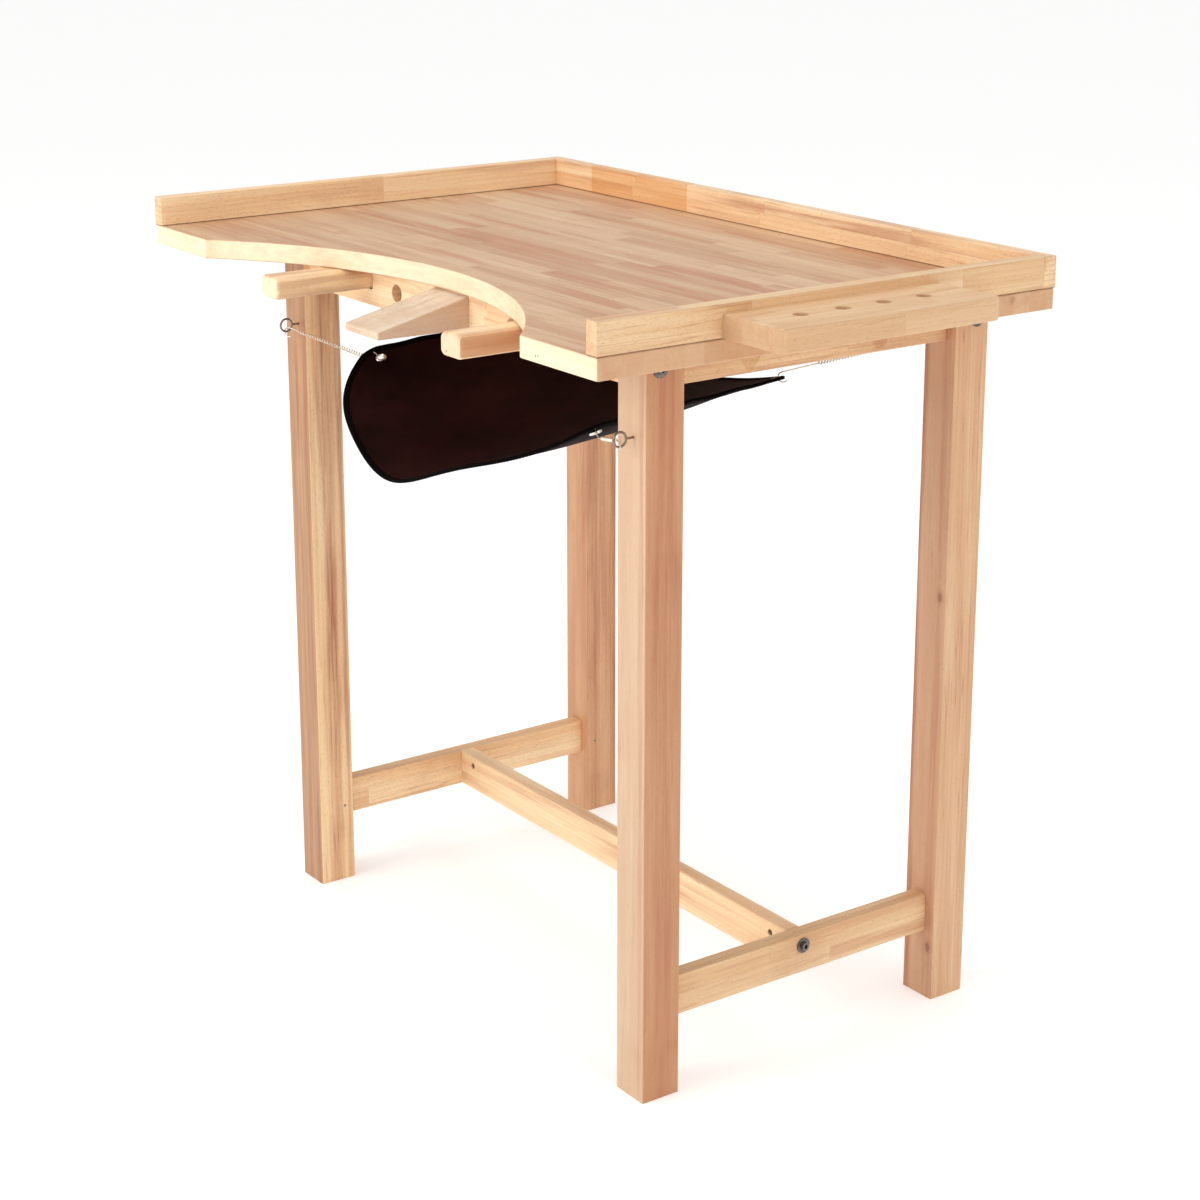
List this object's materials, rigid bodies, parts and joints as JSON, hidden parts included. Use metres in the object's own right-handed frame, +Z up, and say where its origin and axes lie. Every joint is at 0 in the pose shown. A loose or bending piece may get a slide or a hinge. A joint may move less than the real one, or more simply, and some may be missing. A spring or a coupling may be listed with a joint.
{
  "type": "jewelers bench",
  "caption": "Wooden jewelers bench with a bow-shaped bay, sloped bench pin, pull-out arm rests, leather catch skin hung on springs, tray fences and a side tool holder.",
  "frame": {"origin": "on the floor, in the middle of the whole bench's outline seen from above, tool holder included", "axes": "+X to the right of the person who sits at the bay, along the worktop's length; +Y from that person to the back fence; +Z up"},
  "size_m": [1.055, 0.62, 0.921],
  "materials": {
    "worktop_wood": "clear satin",
    "fence_wood": "clear satin",
    "frame_wood": "clear satin",
    "holder_wood": "clear satin",
    "pin_wood": "clear satin",
    "arm_wood": "clear satin",
    "dowel_wood": "plain",
    "skin_leather": "smooth",
    "grommet_metal": "nickel-toned",
    "spring_steel": "bright drawn",
    "eye_steel": "plain",
    "fitting_steel": "zinc plated",
    "screw_steel": "zinc plated"
  },
  "bodies": {
    "bench": {"bench_top": "worktop_wood", "fence_left": "fence_wood", "fence_right": "fence_wood", "fence_back": "fence_wood", "leg_front_left": "frame_wood", "leg_front_right": "frame_wood", "leg_back_left": "frame_wood", "leg_back_right": "frame_wood", "stretcher_left": "frame_wood", "stretcher_right": "frame_wood", "stretcher_long": "frame_wood", "side_rail_left": "frame_wood", "side_rail_right": "frame_wood", "front_rail": "frame_wood", "back_rail": "frame_wood", "tool_holder": "holder_wood", "skin": "skin_leather", "skin_grommets": "grommet_metal", "skin_springs": "spring_steel", "screw_eyes": "eye_steel", "stretcher_bolts": "fitting_steel", "stretcher_washers": "fitting_steel", "stretcher_barrel_nuts": "fitting_steel", "rail_bolts": "fitting_steel", "rail_washers": "fitting_steel", "rail_barrel_nuts": "fitting_steel", "fence_screws": "screw_steel", "top_screws": "screw_steel", "holder_screws": "screw_steel", "tenon_pins": "screw_steel"},
    "bench_pin": {"bench_pin": "pin_wood"},
    "arm_rest_left": {"arm_rest_left": "arm_wood", "arm_stop_peg_left": "dowel_wood"},
    "arm_rest_right": {"arm_rest_right": "arm_wood", "arm_stop_peg_right": "dowel_wood"}
  },
  "joints": [
    {"name": "bench_pin_pull", "type": "slide", "parent": "bench", "child": "bench_pin", "axis": [0, -1, 0], "range_m": [0, 0.036]},
    {"name": "arm_rest_left_push", "type": "slide", "parent": "bench", "child": "arm_rest_left", "axis": [0, 1, 0], "range_m": [0, 0.12]},
    {"name": "arm_rest_right_push", "type": "slide", "parent": "bench", "child": "arm_rest_right", "axis": [0, 1, 0], "range_m": [0, 0.12]}
  ]
}
